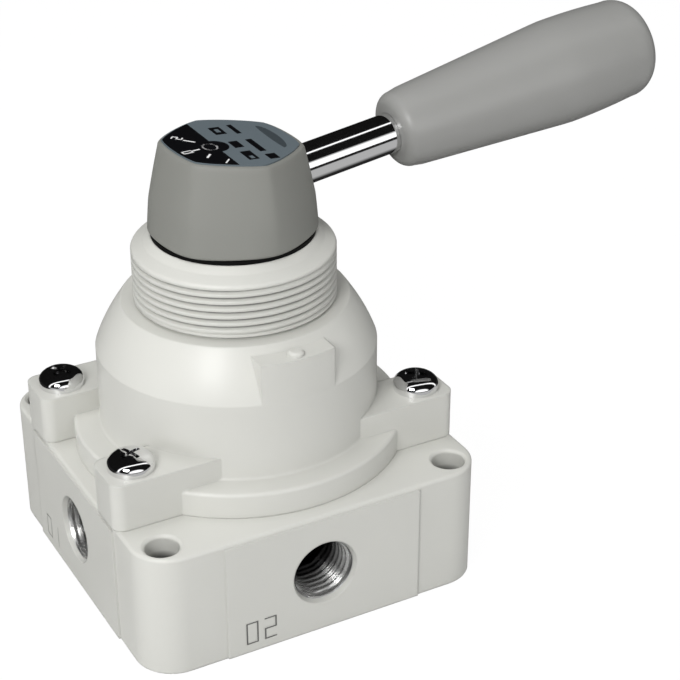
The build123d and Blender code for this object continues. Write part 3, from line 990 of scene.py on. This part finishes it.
def grip_piece():
    profile = grip_profile()
    solid = turned("moulded_grip", profile[3:], 144)
    bores = [turned("rod_room", [(4 * MM, 30 * MM), (4 * MM, 39 * MM)], 72)]
    bores.append(turned("insert_room", [(6 * MM, 38.4 * MM), (6 * MM, 62.4 * MM)], 72))
    return move(combine(solid, bores, "DIFFERENCE"), rod_frame)


moulded_grip = finished(grip_piece(), "lever", grip_plastic, "grip")
print("grip:", len(moulded_grip.data.polygons), "faces")

# %% [markdown]
# ## Dust seal
#
# The thin black line between neck and hub is the flange of the dust seal. On the real valve it is
# a rubber lip that keeps dirt out of the bearing. It stays with the neck while the hub turns over
# it, so it rides on the valve body. A turned ring with the shaft's hole cut out is all it needs.

# %%
seal_low, seal_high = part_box("dust_seal")
seal_top = skirt_foot - 0.04 * MM
seal_outline = [(9 * MM, seal_low[2]), (9 * MM, crown_top), (16.0 * MM, crown_top), (16.0 * MM, seal_top)]
seal = turned("black_dust_seal", seal_outline, 160)
shaft_room = turned("shaft_room", [(7.05 * MM, seal_low[2] - MM), (7.05 * MM, seal_high[2] + MM)], 96)
combine(seal, [shaft_room], "DIFFERENCE")
finished(seal, "valve_body", rubber, "dust_seal")
print("seal placed")

# %% [markdown]
# ## Floor and light
#
# The floor is plain white to the camera and keeps the object's shadow. In reflections it is dark
# with one light patch in front, because chrome shows only what stands round it.

# %%
def backdrop():
    """White to the camera; in reflections, a light patch in front of the object and dark elsewhere."""
    finish = Finish("floor white", Base_Color=(0.62, 0.62, 0.62, 1), Roughness=0.9)
    spot = finish.node("ShaderNodeSeparateXYZ", {}, {0: finish.place()}, output=1)
    off_patch = spot.maths("ABSOLUTE", spot + 0.15)
    grey = 0.02 + (1 - off_patch.above(0.13, 0.02)) * 0.48
    seen = finish.node("ShaderNodeLightPath")
    rays = seen.socket.node.outputs
    camera_ray = Wire(finish, rays["Is Camera Ray"])
    glossy_ray = Wire(finish, rays["Is Glossy Ray"])
    level = camera_ray * 1.04 + (1 - camera_ray) * grey
    glow = finish.node("ShaderNodeEmission", {}, {"Color": level})
    share = camera_ray * 0.93 + glossy_ray * (1 - camera_ray)
    surface = Wire(finish, finish.surface.outputs[0])
    shown = finish.node("ShaderNodeMixShader", {}, {0: share, 1: surface, 2: glow})
    finish.tree.links.new(shown.socket, finish.tree.nodes["Material Output"].inputs["Surface"])
    return finish.material


floor_outline = [(-3, -3), (3, -3), (3, 3), (-3, 3)]
floor = mesh_object("floor", [(x, y, 0) for x, y in floor_outline], [(0, 1, 2, 3)])
dress(floor, backdrop())
print("floor:", floor.name)

# %% [markdown]
# ## World
#
# The world is white to the camera and a soft grey as light. For reflections it is a row of dark
# and bright bands, from behind the object to the side that faces the viewer. They stand in for
# the black cards and light boxes that a photographer puts round polished metal.

# %%
def colour_steps(tree, source, stops):
    """A colour ramp whose grey levels are given as (position, level)."""
    ramp = tree.nodes.new("ShaderNodeValToRGB")
    tree.links.new(source, ramp.inputs[0])
    stripes = ramp.color_ramp.elements
    while len(stripes) < len(stops):
        stripes.new(0.5)
    for stripe, (position, level) in zip(stripes, stops):
        stripe.position = position
        stripe.color = (level, level, level, 1)
    return ramp.outputs[0]


def studio_world():
    """White to the camera, soft grey as light, and dark and bright bands for reflections."""
    world = bpy.data.worlds.new("studio")
    bpy.context.scene.world = world
    world.use_nodes = True
    tree = world.node_tree
    background = tree.nodes["Background"]
    seen = tree.nodes.new("ShaderNodeLightPath")
    place = tree.nodes.new("ShaderNodeTexCoord")
    split = tree.nodes.new("ShaderNodeSeparateXYZ")
    tree.links.new(place.outputs["Generated"], split.inputs[0])
    light = colour_steps(tree, split.outputs["Z"], ((0.0, 0.22), (0.9, 0.50)))
    towards = tree.nodes.new("ShaderNodeMapRange")
    tree.links.new(split.outputs["Y"], towards.inputs["Value"])
    towards.inputs["From Min"].default_value = 1.0
    towards.inputs["From Max"].default_value = -1.0
    dark = 0.006
    bands = [(0.0, dark), (0.53, dark), (0.55, 1.4), (0.60, 1.4)]
    bands += [(0.62, dark), (0.90, dark), (0.94, 1.5), (1.0, 1.3)]
    reflection = colour_steps(tree, towards.outputs["Result"], bands)
    lit = tree.nodes.new("ShaderNodeMix")
    lit.data_type = "RGBA"
    tree.links.new(seen.outputs["Is Glossy Ray"], lit.inputs[0])
    tree.links.new(light, lit.inputs[6])
    tree.links.new(reflection, lit.inputs[7])
    shown = tree.nodes.new("ShaderNodeMix")
    shown.data_type = "RGBA"
    shown.inputs[7].default_value = (1, 1, 1, 1)
    tree.links.new(seen.outputs["Is Camera Ray"], shown.inputs[0])
    tree.links.new(lit.outputs[2], shown.inputs[6])
    tree.links.new(shown.outputs[2], background.inputs["Color"])
    return world


studio_world()
print("world:", bpy.context.scene.world.name)

# %% [markdown]
# ## Lamps
#
# Area lamps give soft edged light. The key comes from the left and above, and four weaker ones
# fill the other sides. Only the key shows in polished metal, so the chrome keeps its clean bands.

# %%
def soft_lamp(name, place, target, size, power):
    data = bpy.data.lights.new(name, "AREA")
    data.shape = "RECTANGLE"
    data.size, data.size_y = size
    data.energy = power
    lamp = bpy.data.objects.new(name, data)
    lamp.location = place
    aim = Vector(target) - Vector(place)
    lamp.rotation_euler = aim.to_track_quat("-Z", "Y").to_euler()
    bpy.context.scene.collection.objects.link(lamp)
    return lamp


middle = (0, 0, 0.04)
soft_lamp("key_lamp", (-0.52, -0.46, 0.50), middle, (0.30, 0.30), 3.8)
left_lamp = soft_lamp("left_lamp", (-0.88, 0.0, 0.11), middle, (0.4, 0.2), 1.7)
right_lamp = soft_lamp("right_lamp", (0.75, -0.50, 0.25), middle, (0.4, 0.4), 0.6)
front_lamp = soft_lamp("front_lamp", (0.10, -0.80, 0.35), middle, (0.4, 0.4), 1.15)
top_lamp = soft_lamp("top_lamp", (-0.10, 0.10, 0.8), middle, (0.5, 0.4), 2.1)
for lamp in (left_lamp, right_lamp, front_lamp, top_lamp):
    lamp.visible_glossy = False
bpy.context.scene.view_settings.view_transform = "Standard"
print("lamps:", len(bpy.data.lights))
